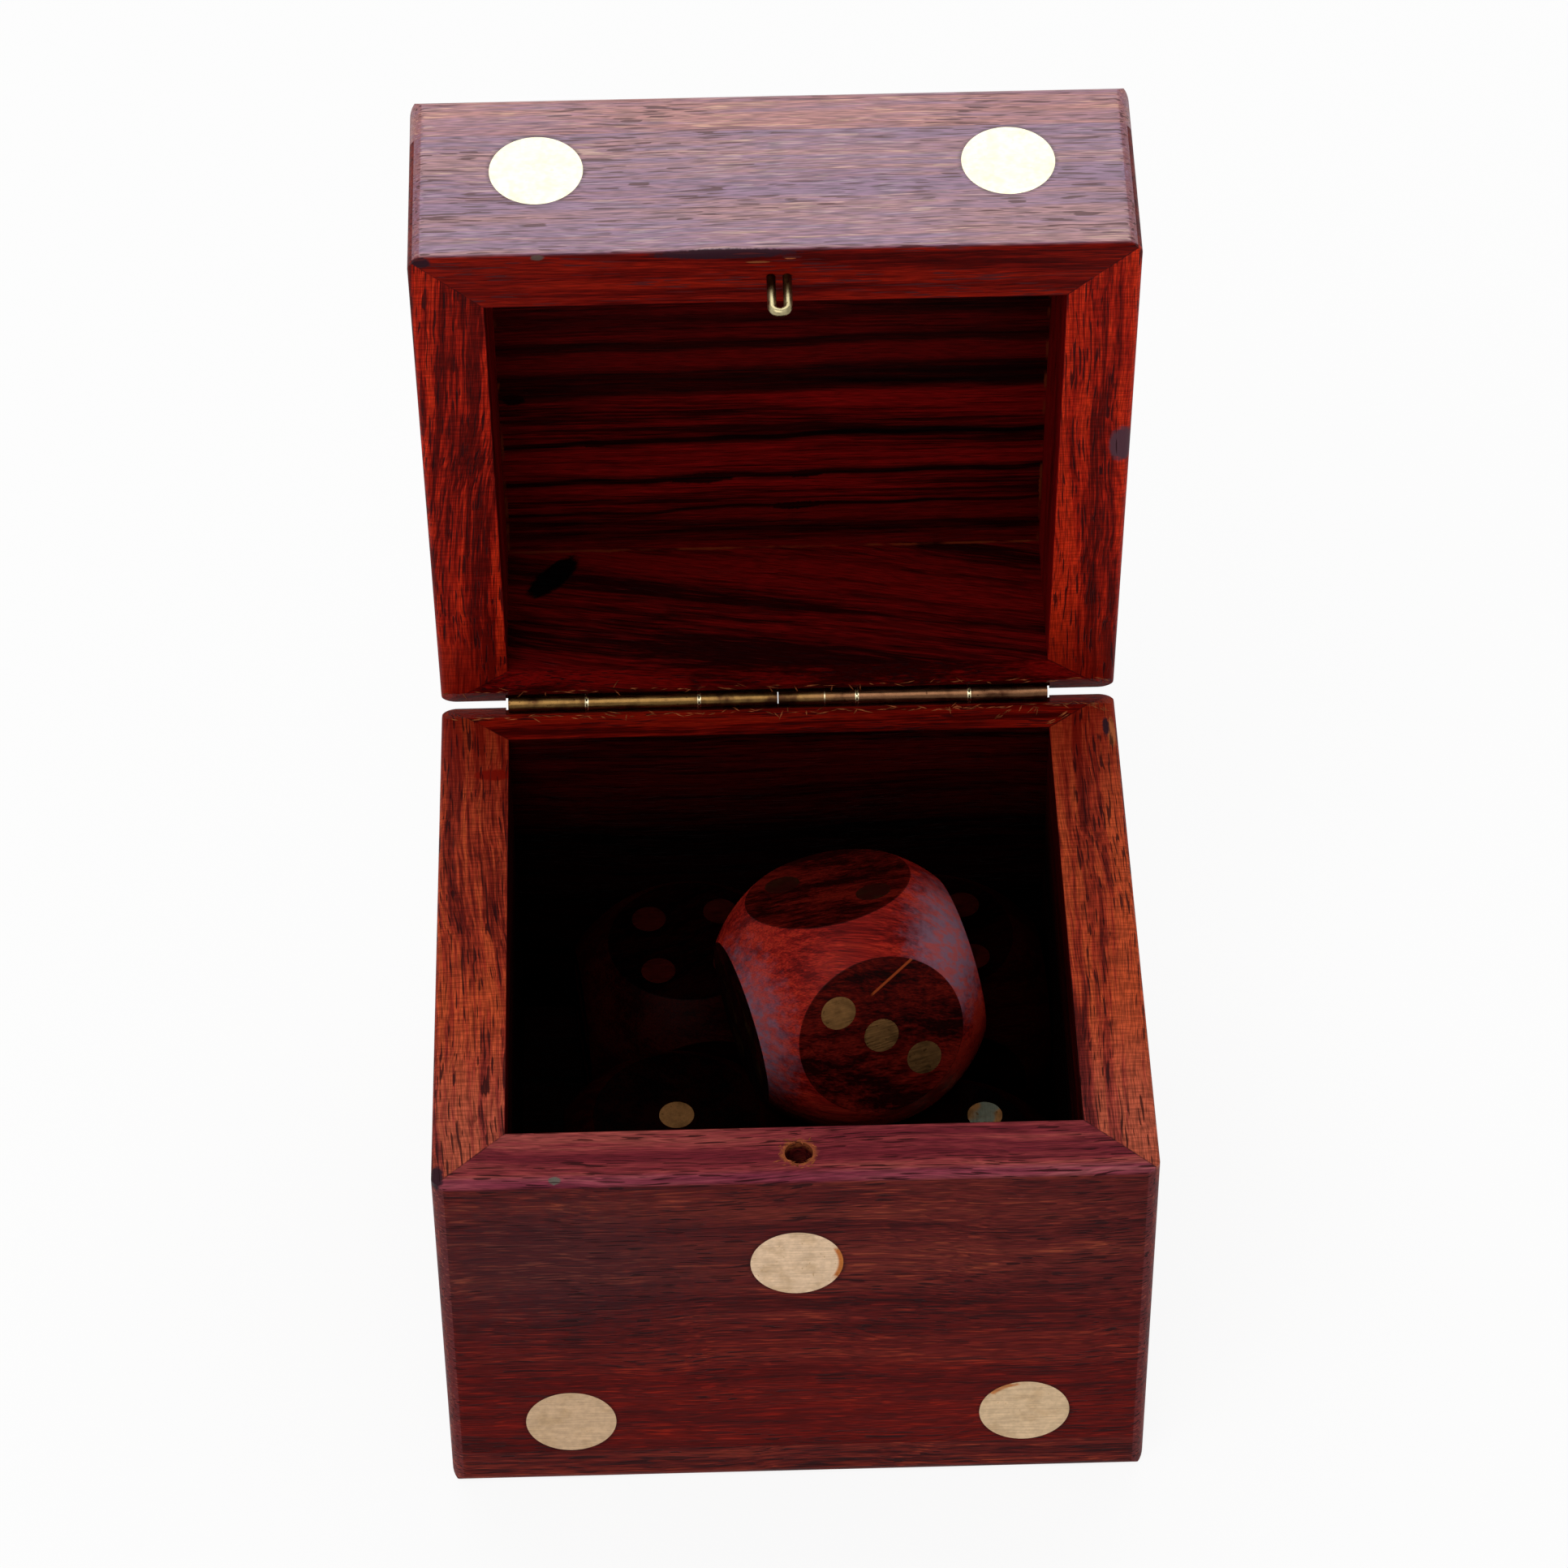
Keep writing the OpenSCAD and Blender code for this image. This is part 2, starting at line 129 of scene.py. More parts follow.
class DiceBoxColours(bpy.types.PropertyGroup):
    """Colours of the woods and brasses."""

    face: colour("Outside", (0.120, 0.010, 0.008), "Wood of the outside")
    front: colour("Body front", (0.094, 0.0085, 0.0080), "Wood of the body's front")
    # Lid front: pale wood whose mauve wash is painted sheen, the light's reflection on the upturned front
    washed_sheen: colour("Lid front", (0.320, 0.165, 0.215), "Pale wood of the lid's front")
    rim: colour("Side rims", (0.300, 0.028, 0.011), "Rims of the body's side walls")
    front_rim: colour("Front rim", (0.205, 0.026, 0.030), "Rim of the body's front wall")
    lid_rim: colour("Lid rims", (0.330, 0.010, 0.003), "Rims of the lid's side walls")
    lid_front_rim: colour("Lid front rim", (0.140, 0.003, 0.001), "Rim of the lid's front wall")
    lid_back_rim: colour("Lid back rim", (0.105, 0.001, 0.001), "Rim of the lid's back wall")
    # Inside: dark wood, made darker still as painted shade of the hollows
    inside: colour("Inside", (0.060, 0.0005, 0.0006), "Wood of the inside")
    strip: colour("Corner strips", (0.220, 0.048, 0.053), "Worn upright corners")
    # Corner strips: lighter colour that is a painted highlight of the chamfered upright corners
    pore: colour("Pores", (0.020, 0.002, 0.003), "Open pores of the wood")
    torn: colour("Torn fibres", (0.420, 0.110, 0.035), "Fresh wood where fibres are torn")
    stain: colour("Stains", (0.030, 0.008, 0.014), "Dark stains and knots")
    filler: colour("Filler", (0.100, 0.040, 0.055), "Filled spot in the lid's rim")
    die_round: colour("Die sides", (0.210, 0.008, 0.005), "Rounded sides of the dice")
    die_flat: colour("Die faces", (0.045, 0.0015, 0.0010), "Flat faces of the dice")
    body_brass: colour("Discs", (0.72, 0.51, 0.335), "Discs in the body")
    # Lid discs: paler than the body's discs, partly painted reflection of the light on the upturned discs
    lid_brass: colour("Lid discs", (0.76, 0.72, 0.52), "Discs in the lid")
    spot_brass: colour("Spots", (0.30, 0.145, 0.050), "Spots of the dice")
    hinge_brass: colour("Hinges", (0.165, 0.090, 0.028), "Leaves, knuckles and pins")
    wire_brass: colour("Wire", (0.42, 0.36, 0.20), "Wire of the catch")


class Bench:
    """A material being made up, one node after another."""

    def __init__(self, name):
        self.material = bpy.data.materials.new(name)
        self.material.use_nodes = True
        self.nodes = self.material.node_tree.nodes
        self.links = self.material.node_tree.links
        self.nodes.clear()

    def feed(self, socket, value):
        """Links a socket to a socket, or sets it to a plain value."""
        if isinstance(value, bpy.types.NodeSocket):
            self.links.new(value, socket)
        elif socket.type == "RGBA":
            socket.default_value = (*value, 1.0)
        else:
            socket.default_value = value

    def put(self, kind, sockets, **settings):
        """Adds a node with its settings and inputs."""
        node = self.nodes.new(kind)
        for key, value in settings.items():
            setattr(node, key, value)
        for socket, value in sockets.items():
            self.feed(node.inputs[socket], value)
        return node

    def math(self, operation, a, b=0.0):
        """One sum."""
        return self.put("ShaderNodeMath", {0: a, 1: b}, operation=operation).outputs[0]

    def times(self, vector, factors):
        """A vector stretched along its three axes."""
        return self.put("ShaderNodeVectorMath", {0: vector, 1: factors}, operation="MULTIPLY").outputs[0]

    def plus(self, vector, step):
        """A vector moved by a step."""
        return self.put("ShaderNodeVectorMath", {0: vector, 1: step}, operation="ADD").outputs[0]

    def off(self, value, share):
        """How far a noise lies from its middle, times a share."""
        return self.math("MULTIPLY", self.math("SUBTRACT", value, 0.5), share)

    def ramp(self, value, low, high, to_low=0.0, to_high=1.0):
        """A smooth step from one value to another."""
        node = self.put("ShaderNodeMapRange", {"Value": value}, interpolation_type="SMOOTHSTEP")
        for socket, number in zip(("From Min", "From Max", "To Min", "To Max"), (low, high, to_low, to_high)):
            node.inputs[socket].default_value = number
        return node.outputs["Result"]

    def near(self, value, centre, reach, soft):
        """One where a value lies within reach of a centre, with a soft edge."""
        away = self.math("ABSOLUTE", self.math("SUBTRACT", value, centre))
        return self.ramp(away, reach + soft, reach)

    def noise(self, vector, detail=3.0, rough=0.5):
        """Soft noise, from nought to one."""
        sockets = {"Vector": vector, "Scale": 1.0, "Detail": detail, "Roughness": rough}
        return self.put("ShaderNodeTexNoise", sockets).outputs["Fac"]

    def mix(self, share, a, b, blend="MIX"):
        """Two colours mixed by a share."""
        node = self.put("ShaderNodeMix", {}, data_type="RGBA", blend_type=blend)
        self.feed(node.inputs["Factor"], share)
        self.feed(node.inputs[6], a)
        self.feed(node.inputs[7], b)
        return node.outputs[2]

    def dim(self, tint, light):
        """A colour made darker or brighter by a number."""
        return self.mix(1.0, tint, self.join(light, light, light), "MULTIPLY")

    def shades(self, value, stops):
        """Colours laid along a value."""
        node = self.put("ShaderNodeValToRGB", {"Fac": value})
        ramp = node.color_ramp
        while len(ramp.elements) < len(stops):
            ramp.elements.new(1.0)
        for element, (place, tint) in zip(ramp.elements, stops):
            element.position = place
            element.color = (*tint, 1.0)
        return node.outputs["Color"]

    def split(self, vector):
        """The three parts of a vector."""
        return self.put("ShaderNodeSeparateXYZ", {"Vector": vector}).outputs[:3]

    def join(self, x, y, z):
        """A vector from three parts."""
        return self.put("ShaderNodeCombineXYZ", {"X": x, "Y": y, "Z": z}).outputs[0]

    def length(self, vector):
        """Length of a vector."""
        return self.put("ShaderNodeVectorMath", {0: vector}, operation="LENGTH").outputs["Value"]

    def any_of(self, masks):
        """The largest of some masks."""
        result = masks[0]
        for mask in masks[1:]:
            result = self.math("MAXIMUM", result, mask)
        return result

    def all_of(self, masks):
        """The product of some masks."""
        result = masks[0]
        for mask in masks[1:]:
            result = self.math("MULTIPLY", result, mask)
        return result

    def blot(self, place, centre, reach, ragged=0.35, soft=0.2):
        """One inside a ragged spot round a centre."""
        inward = self.plus(place, tuple(-part for part in centre))
        away = self.length(self.times(inward, tuple(1.0 / part for part in reach)))
        frayed = self.noise(self.times(place, (max(1.2, 1.4 / min(reach)),) * 3), 3.0, 0.6)
        return self.ramp(self.math("ADD", away, self.off(frayed, 2.0 * ragged)), 1.0 + soft, 1.0 - soft)

    def finish(self, tint, rough, height=None, depth=0.03, coat=None, **constants):
        """The surface itself, with bumps in millimetres and a coat of polish where there is one."""
        shader = self.put("ShaderNodeBsdfPrincipled", {"Base Color": tint, "Roughness": rough})
        for socket, value in constants.items():
            shader.inputs[socket].default_value = value
        if coat is not None:
            self.feed(shader.inputs["Coat Weight"], coat)
        if height is not None:
            bump = self.put("ShaderNodeBump", {"Height": height, "Strength": 1.0, "Distance": depth * MM})
            self.links.new(bump.outputs[0], shader.inputs["Normal"])
        out = self.nodes.new("ShaderNodeOutputMaterial")
        self.links.new(shader.outputs[0], out.inputs["Surface"])
        return self.material


def own_place(bench, turn=None, centre=None):
    """Coordinates in millimetres, turned and moved so that a piece lies square to them."""
    coords = bench.put("ShaderNodeTexCoord", {}).outputs["Object"]
    turn = turn or Matrix.Identity(3)
    shift = Vector((0, 0, 0)) if centre is None else -(turn @ centre)
    sockets = {
        "Vector": coords,
        "Scale": (1 / MM,) * 3,
        "Rotation": tuple(turn.to_euler("XYZ")),
        "Location": tuple(shift / MM),
    }
    return bench.put("ShaderNodeMapping", sockets).outputs[0]


def lid_turn():
    """The turn that shuts the lid, and the hinge axis it turns about."""
    sizes = bpy.context.scene.dice_box_sizes
    axis = Vector((0, sizes.axis_back, sizes.axis_up))
    return Matrix.Rotation(sizes.lid_open, 3, "X"), axis


def shut_place(bench):
    """Coordinates of a lid piece as if the lid were shut, in millimetres."""
    turn, axis = lid_turn()
    return own_place(bench, turn, axis - turn.inverted() @ axis)


def around(tint, deep=0.36, warm=1.6):
    """Dark, middle and light shades of a wood."""
    dark = (tint[0] * deep, tint[1] * deep * 0.7, tint[2] * deep)
    light = (tint[0] * warm, tint[1] * warm * 1.5, tint[2] * warm * 1.1)
    return dark, tuple(tint), light


def grain_of(bench, place, seed, lengthwise=False, lean=(0.0, 0.0), wander=1.0):
    """Bands, streaks, fibres, pores and flecks of a board, with the grain along X or along Y."""
    x, y, z = bench.split(place)
    along, across = (y, x) if lengthwise else (x, y)
    sideways = bench.math("ADD", across, bench.math("MULTIPLY", along, lean[0]))
    upwards = bench.math("ADD", z, bench.math("MULTIPLY", along, lean[1]))
    grain = bench.plus(bench.join(along, sideways, upwards), (seed * 37.0, seed * 11.0, seed * 5.0))
    sway = bench.off(bench.noise(bench.times(grain, (0.03, 0.05, 0.05)), 1.0), 3.4 * wander)
    ripple = bench.off(bench.noise(bench.times(grain, (0.14, 0.20, 0.20)), 1.0), 0.5 * wander)
    shift = bench.math("ADD", sway, ripple)
    swayed = bench.plus(grain, bench.join(0.0, shift, shift))
    dashes = bench.noise(bench.times(swayed, (0.33, 5.5, 5.5)), 0.0)
    clumps = bench.noise(bench.times(swayed, (0.05, 0.30, 0.30)), 1.0)
    return {
        "place": grain,
        "bands": bench.noise(bench.times(swayed, (0.012, 0.26, 0.26)), 2.0, 0.5),
        "streaks": bench.noise(bench.times(swayed, (0.035, 1.3, 1.3)), 2.0, 0.6),
        "fibres": bench.noise(bench.times(swayed, (0.16, 4.5, 4.5)), 2.0, 0.6),
        "threads": bench.noise(bench.times(swayed, (0.5, 9.0, 9.0)), 1.0, 0.6),
        "pores": bench.all_of([bench.ramp(dashes, 0.64, 0.69), bench.ramp(clumps, 0.40, 0.50)]),
        "flecks": bench.all_of([bench.ramp(dashes, 0.38, 0.31), bench.ramp(clumps, 0.60, 0.50)]),
    }


def wooden(bench, grain, palette, spread=0.12, streaky=0.7, banded=1.0):
    """Colour of one palette along the grain."""
    dark, middle, light = palette
    value = bench.math("ADD", bench.off(grain["bands"], banded), bench.off(grain["streaks"], streaky))
    value = bench.math("ADD", value, bench.off(grain["fibres"], 0.6))
    stops = ((0.5 - spread, dark), (0.5, middle), (0.5 + spread, light))
    base = bench.shades(bench.math("ADD", value, 0.5), stops)
    return bench.dim(base, bench.ramp(grain["threads"], 0.3, 0.7, 0.66, 1.34))


def outside_wood(bench, name, place, grain, tints):
    """Wood of the outer faces, with lighter corner strips as painted highlight, dark rings round the discs, a
    painted sheen on the lid's front and painted shade low on the body's front.
    """
    x, y, z = bench.split(place)
    # Painted sheen: the lid's front, and the front strip of its top panel, take a pale wash with blue-grey
    # and pink streaks that stands in for the light's reflection
    if name in ("lid_front_wall", "lid_top_panel"):
        blue_sheen, pink_sheen = (0.82, 0.88, 1.06), (1.22, 1.22, 0.98)
        middle = tuple(tints.washed_sheen)
        palette = [tuple(a * b for a, b in zip(middle, shift)) for shift in (blue_sheen, (1.0, 1.0, 1.0), pink_sheen)]
        tint = wooden(bench, grain, palette, 0.14, 1.0, 0.8)
    if name == "lid_top_panel":
        warm = bench.mix(1.0, tint, (1.12, 0.98, 0.88), "MULTIPLY")
        tint = bench.mix(bench.ramp(y, -28.6, -29.4), wooden(bench, grain, around(tints.face)), warm)
    elif name == "body_front_wall":
        tint = wooden(bench, grain, around(tints.front, 0.42, 1.5), 0.20, 0.6, 0.7)
        # Painted shade: the body's front turns redder and darker towards the bottom
        low = bench.ramp(bench.math("ADD", z, bench.off(grain["bands"], 16.0)), 32.0, 10.0)
        tint = bench.mix(low, tint, bench.mix(1.0, tint, (0.98, 0.26, 0.20), "MULTIPLY"))
        dull = bench.blot(place, (-22.0, OUTER_FRONT, 31.0), (13.0, 4.0, 8.0), 0.8, 0.7)
        tint = bench.mix(bench.math("MULTIPLY", dull, 0.55), tint, (0.034, 0.010, 0.014))
    elif name != "lid_front_wall":
        tint = wooden(bench, grain, around(tints.face), 0.15)
    if name in ("body_front_wall", "lid_front_wall"):
        rings = []
        for across, up in FRONT_DISCS:
            away = bench.length(bench.times(bench.plus(place, (-across, 0.0, -up)), (1.0, 0.0, 1.0)))
            rings.append(bench.ramp(away, DISC_RADIUS + 0.55, DISC_RADIUS))
        frayed = bench.ramp(grain["fibres"], 0.35, 0.65, 0.2, 0.9)
        dark = bench.math("MULTIPLY", bench.any_of(rings), frayed)
        tint = bench.dim(tint, bench.ramp(dark, 0.0, 1.0, 1.0, 0.4))
    # Painted highlight: lighter pinkish strips down the upright corners stand in for the light on the
    # chamfered corners, strongest on the lid's front
    corner = bench.near(bench.math("ABSOLUTE", x), OUTER_HALF, 1.05, 0.06)
    hatch = bench.noise(bench.times(place, (2.5, 2.5, 7.0)), 2.0, 0.6)
    share = 0.7 if name == "lid_front_wall" else 0.4
    corner_sheen = bench.math("MULTIPLY", corner, bench.ramp(hatch, 0.3, 0.6, 0.3 * share, share))
    tint = bench.mix(corner_sheen, tint, tuple(tints.strip))
    flecked = bench.mix(1.0, tint, (2.1, 2.9, 1.9), "MULTIPLY")
    strength = 0.30 if name.startswith("lid") else 0.75
    return bench.mix(bench.math("MULTIPLY", grain["flecks"], strength), tint, flecked)


def rim_wood(bench, name, place, grain, tints):
    """Wood of the rims, with saw marks across the side walls and thin dark lines at the mitres; the side rims
    darken towards the hinge as painted shade and take a painted sheen towards the front.
    """
    x, y, _ = bench.split(place)
    palettes = {
        "body_front_wall": around(tints.front_rim, 0.6, 1.4),
        "body_back_wall": around(tints.lid_front_rim, 0.35, 1.5),
        "lid_front_wall": around(tints.lid_front_rim, 0.42, 1.6),
        "lid_back_wall": around(tints.lid_back_rim, 0.3, 1.8),
        "lid_left_wall": around(tints.lid_rim, 0.30, 1.55),
        "lid_right_wall": around(tints.lid_rim, 0.30, 1.55),
    }
    spread = 0.20 if name == "body_front_wall" else 0.14
    tint = wooden(bench, grain, palettes.get(name, around(tints.rim, 0.36, 1.5)), spread, 0.8)
    if name in SIDE_BOARDS:
        marks = bench.noise(bench.times(grain["place"], (6.0, 0.5, 0.5)), 1.0)
        tint = bench.dim(tint, bench.ramp(marks, 0.35, 0.65, 0.76, 1.20))
        if name.startswith("lid"):
            # Painted shade: the lid's side rims darken towards the hinge
            dark = tuple(0.45 * part for part in tints.lid_rim)
            tint = bench.mix(bench.ramp(y, 14.0, 27.0, 0.0, 0.6), tint, dark)
        else:
            # Painted sheen: the body's side rims turn purple towards the front
            purple_sheen = bench.mix(1.0, tint, (0.80, 1.25, 2.4), "MULTIPLY")
            tint = bench.mix(bench.ramp(y, -8.0, -26.0, 0.0, 0.75), tint, purple_sheen)
            # Painted shade: the body's side rims darken towards the back, by the hinge
            dark = tuple(0.55 * part for part in tints.lid_rim)
            tint = bench.mix(bench.ramp(y, 12.0, 27.0, 0.0, 0.6), tint, dark)
    if name == "body_front_wall":
        # Painted highlight: the outer edge of the body's front rim turns pinker
        pink_sheen = bench.mix(1.0, tint, (1.0, 1.25, 1.7), "MULTIPLY")
        tint = bench.mix(bench.ramp(y, -28.9, -29.7), tint, pink_sheen)
    side = bench.math("SUBTRACT", bench.math("ABSOLUTE", x), INNER_HALF)
    front = bench.math("ADD", bench.math("MULTIPLY", side, 0.953), bench.math("SUBTRACT", y, INNER_FRONT))
    back = bench.math("SUBTRACT", bench.math("MULTIPLY", side, 0.781), bench.math("SUBTRACT", y, INNER_BACK))
    mitre = bench.any_of([bench.near(front, 0.0, 0.04, 0.10), bench.near(back, 0.0, 0.04, 0.10)])
    frayed = bench.ramp(bench.noise(bench.times(place, (0.9, 0.9, 0.9)), 2.0), 0.35, 0.6, 0.25, 0.7)
    return bench.mix(bench.math("MULTIPLY", mitre, frayed), tint, tuple(tints.pore))


def inside_wood_and_shade(bench, name, place, grain, tints):
    """Wood of the hollows, dark partly as painted shade, striped in the lid, and in the body darkened further
    with depth as painted shade.
    """
    x, y, z = bench.split(place)
    tint = wooden(bench, grain, around(tints.inside, 0.22, 1.9), 0.16, 0.7)
    if name == "lid_top_panel":
        sway = bench.off(bench.noise(bench.times(place, (0.06, 0.02, 0.02)), 2.0), 3.0)
        row = bench.math("ADD", bench.math("ADD", y, sway), bench.math("MULTIPLY", x, 0.025))
        glow = [bench.near(row, *stripe) for stripe in ((6.3, 2.0, 1.2), (12.2, 1.4, 1.0), (17.2, 1.0, 1.0))]
        tint = bench.dim(tint, bench.ramp(bench.any_of(glow), 0.0, 1.0, 0.8, 1.45))
        fray = bench.ramp(grain["fibres"], 0.3, 0.7, 0.6, 1.0)
        dark = 0.0
        lines = (
            (-6.6, 0.4, 0.9, 0.6), (-3.0, 0.35, 0.6, 0.8), (1.7, 1.1, 1.3, 0.85),
            (9.6, 0.2, 0.3, 1.0), (14.9, 0.2, 0.35, 1.0), (19.3, 0.1, 0.3, 0.9), (22.5, 0.3, 0.9, 0.5),
        )
        for centre, half, soft, share in lines:
            line = bench.math("MULTIPLY", bench.near(row, centre, half, soft), share)
            dark = bench.math("MAXIMUM", dark, line)
        lenses = (
            (-6.5, 15.1, 3.0, 0.75), (-16.8, 9.7, 1.4, 0.5), (2.3, 19.4, 2.8, 0.5),
            (3.2, 15.0, 2.0, 0.5), (-24.0, 3.2, 1.2, 0.8),
        )
        for across, back, half, thick in lenses:
            spot = bench.blot(bench.join(x, row, 0.0), (across, back, 0.0), (half, thick, 1.0), 0.5)
            dark = bench.math("MAXIMUM", dark, spot)
        tint = bench.dim(tint, bench.ramp(bench.math("MULTIPLY", dark, fray), 0.0, 1.0, 1.0, 0.04))
    if name in SIDE_BOARDS:
        tint = bench.dim(tint, 1.7)
    if name == "lid_back_wall":
        slant = bench.math("MULTIPLY", bench.math("SUBTRACT", z, 53.2), 0.7)
        slanted = bench.join(bench.math("SUBTRACT", x, slant), y, z)
        knot = bench.blot(slanted, (-21.0, INNER_BACK, 53.2), (1.6, 2.0, 2.6), 0.25)
        tint = bench.dim(tint, bench.ramp(knot, 0.0, 1.0, 1.0, 0.01))
    if name.startswith("lid"):
        ragged = bench.off(bench.noise(bench.times(place, (0.5, 0.5, 0.5)), 3.0, 0.7), 0.5)
        if name == "lid_top_panel":
            sideways = bench.math("ADD", bench.math("ABSOLUTE", x), ragged)
            seam = bench.near(sideways, INNER_HALF - 0.1, 0.09, 0.08)
        else:
            seam = bench.near(bench.math("ADD", z, ragged), LID_PANEL - 0.15, 0.10, 0.10)
        patchy = bench.ramp(bench.noise(bench.times(place, (0.35, 0.35, 0.35)), 2.0), 0.40, 0.60)
        tint = bench.mix(bench.all_of([seam, patchy]), tint, (0.13, 0.017, 0.004))
    else:
        # Painted shade: the body's hollow darkens with depth
        deep = bench.ramp(z, 42.0, 25.0, 0.35, 0.03)
        tint = bench.dim(tint, deep)
    return tint


def rim_marks(bench, name, place, tint, tints):
    """Knots, stains, fillings and torn fibres where the real box has them."""
    dark = tuple(tints.stain)
    torn = tuple(tints.torn)
    spots = {
        "body_left_wall": [
            ((-26.8, 20.6, BODY_RIM), (1.8, 0.7, 0.8), tuple(0.6 * part for part in tints.lid_rim)),
            ((-31.3, -28.9, BODY_RIM), (0.6, 1.2, 0.9), dark),
        ],
        "body_right_wall": [
            ((31.2, 24.4, BODY_RIM), (0.35, 1.9, 0.8), torn),
            ((30.7, 25.2, BODY_RIM), (0.3, 1.2, 0.8), dark),
        ],
        "body_front_wall": [
            (HOLE, (1.5, 1.4, 1.0), tuple(0.7 * part for part in torn)),
            ((-21.0, -29.7, BODY_RIM), (0.5, 0.4, 0.6), (0.13, 0.11, 0.09)),
            ((-31.4, -29.6, BODY_RIM), (0.7, 0.5, 0.9), dark),
        ],
        "lid_front_wall": [
            ((-4.5, -30.1, LID_RIM), (6.0, 0.5, 0.6), dark),
            ((1.3, -29.5, LID_RIM), (0.45, 0.12, 0.5), torn),
            ((-1.5, -29.1, LID_RIM), (1.0, 0.12, 0.5), tuple(0.6 * part for part in torn)),
            ((-20.5, -30.1, LID_RIM), (0.6, 0.22, 0.4), (0.10, 0.06, 0.05)),
            ((-30.6, -29.8, LID_RIM), (0.9, 0.5, 0.5), dark),
        ],
        "lid_right_wall": [((31.0, -4.7, LID_RIM), (1.1, 2.2, 1.2), tuple(tints.filler))],
    }
    for centre, reach, shade in spots.get(name, []):
        tint = bench.mix(bench.blot(place, centre, reach), tint, shade)
    return tint


def board(name, place_of, seed):
    """A board of the box: its outside, its rim and its inside, dark partly as painted shade."""
    tints = bpy.context.scene.dice_box_colours
    bench = Bench(name.replace("_", " "))
    place = place_of(bench)
    x, y, z = bench.split(place)
    wander = 0.4 if name in ("lid_front_wall", "lid_top_panel") else 1.0
    grain = grain_of(bench, place, seed, name in SIDE_BOARDS, LEANS.get(name, (0.0, 0.0)), wander)
    lid = name.startswith("lid")
    edge = (LID_RIM + 0.6, LID_RIM + 0.2) if lid else (BODY_RIM - 0.6, BODY_RIM - 0.2)
    rim = bench.ramp(z, *edge)
    inside = bench.all_of([
        bench.near(x, 0.0, INNER_HALF + 0.02, 0.06),
        bench.near(y, (INNER_FRONT + INNER_BACK) / 2, (INNER_BACK - INNER_FRONT) / 2 + 0.02, 0.06),
        bench.ramp(z, BODY_PANEL - 0.2, BODY_PANEL - 0.1),
        bench.ramp(z, LID_PANEL + 0.1, LID_PANEL),
    ])
    tint = outside_wood(bench, name, place, grain, tints)
    if not name.endswith("panel"):
        tint = bench.mix(rim, tint, rim_wood(bench, name, place, grain, tints))
        tint = rim_marks(bench, name, place, tint, tints)
    pore = (0.075, 0.012, 0.014) if name in ("lid_front_wall", "lid_top_panel") else tuple(tints.pore)
    tint = bench.mix(bench.math("MULTIPLY", grain["pores"], 0.85), tint, pore)
    tint = bench.mix(inside, tint, inside_wood_and_shade(bench, name, place, grain, tints))
    rough = bench.ramp(grain["fibres"], 0.3, 0.7, 0.40, 0.55)
    height = bench.math("SUBTRACT", bench.math("MULTIPLY", grain["threads"], 0.6), grain["pores"])
    coat = None
    if name in ("lid_front_wall", "lid_top_panel"):
        front = bench.all_of([bench.ramp(y, -29.0, -29.6), bench.ramp(z, LID_RIM + 0.3, LID_RIM + 0.7)])
        coat = bench.math("MULTIPLY", front, bench.ramp(grain["streaks"], 0.3, 0.7, 0.9, 0.6))
    constants = {"Specular IOR Level": 0.045, "Coat Roughness": 0.38}
    return bench.finish(tint, rough, height, 0.035, coat, **constants)


def brushed(name, place_of, tint, dark, rough=0.3, scratch=(0.3, 7.0, 7.0), dirt=0.5, marks=()):
    """Brass with marks of other colours, stains, fine scratches and specks."""
    bench = Bench(name)
    place = place_of(bench)
    lines = bench.noise(bench.times(place, scratch), 3.0, 0.7)
    cloud = bench.noise(bench.times(place, (0.4, 0.4, 0.4)), 3.0, 0.6)
    mottle = bench.noise(bench.times(place, (2.2, 2.2, 2.2)), 2.0)
    specks = bench.noise(bench.times(place, (3.1, 3.1, 3.1)), 0.0)
    shade = tint
    for mask, other in marks:
        shade = bench.mix(mask(bench, place), shade, other)
    shade = bench.mix(bench.math("MULTIPLY", bench.ramp(cloud, 0.45, 0.68), dirt), shade, dark)
    shade = bench.dim(shade, bench.ramp(lines, 0.3, 0.7, 0.80, 1.10))
    shade = bench.dim(shade, bench.ramp(mottle, 0.3, 0.7, 0.90, 1.06))
    shade = bench.mix(bench.math("MULTIPLY", bench.ramp(specks, 0.78, 0.82), 0.8), shade, dark)
    dull = bench.ramp(lines, 0.3, 0.7, rough - 0.06, rough + 0.1)
    return bench.finish(shade, dull, lines, 0.008, Metallic=1.0)


def wear(node, material):
    """Gives a carried-over node its material."""
    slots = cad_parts[node].data.materials
    slots.clear()
    slots.append(material)


class DICEBOX_OT_body_boards(bpy.types.Operator):
    """Gives the five boards of the body their wood"""

    bl_idname = "dicebox.body_boards"
    bl_label = "Body boards"

    def execute(self, context):
        for seed, name in enumerate(BODY_BOARDS):
            wear(name, board(name, own_place, seed + 1))
        return {"FINISHED"}


class DICEBOX_OT_lid_boards(bpy.types.Operator):
    """Gives the five boards of the lid their wood"""

    bl_idname = "dicebox.lid_boards"
    bl_label = "Lid boards"

    def execute(self, context):
        for seed, name in enumerate(LID_BOARDS):
            wear(name, board(name, shut_place, seed + 11))
        return {"FINISHED"}


